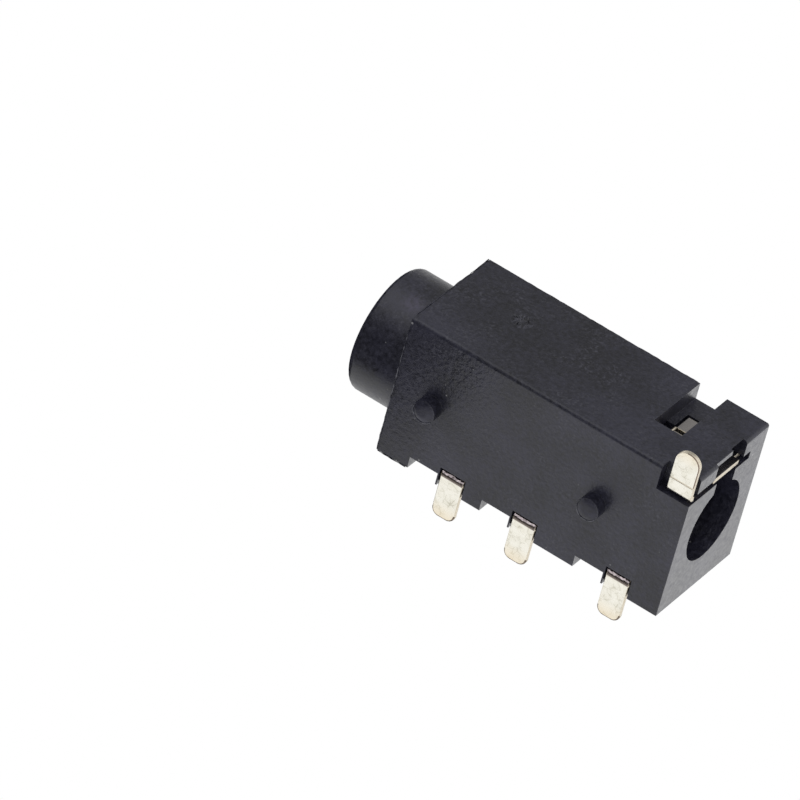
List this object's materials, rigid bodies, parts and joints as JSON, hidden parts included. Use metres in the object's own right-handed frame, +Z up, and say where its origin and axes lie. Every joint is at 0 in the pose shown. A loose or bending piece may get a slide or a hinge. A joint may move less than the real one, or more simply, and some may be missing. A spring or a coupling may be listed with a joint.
{
  "type": "pcb audio jack",
  "caption": "Surface-mount audio jack: black box housing with a round barrel and plug bore, locating pegs underneath and tin-plated spring contacts with flat leads.",
  "frame": {"origin": "centre of the front locating peg in the board plane, where the peg leaves the housing's underside", "axes": "+Z up from the board, +Y along the plug's way in from the mouth to the rear, +X towards the sleeve contact's side"},
  "size_m": [0.0083, 0.0141, 0.0056],
  "materials": {
    "black_moulding": "satin moulded",
    "tinned_brass": "satin tin plating"
  },
  "bodies": {
    "root": {"housing": "black_moulding", "ring_two_contact": "tinned_brass", "ring_one_contact": "tinned_brass", "tip_contact": "tinned_brass", "sleeve_contact": "tinned_brass"}
  },
  "joints": []
}
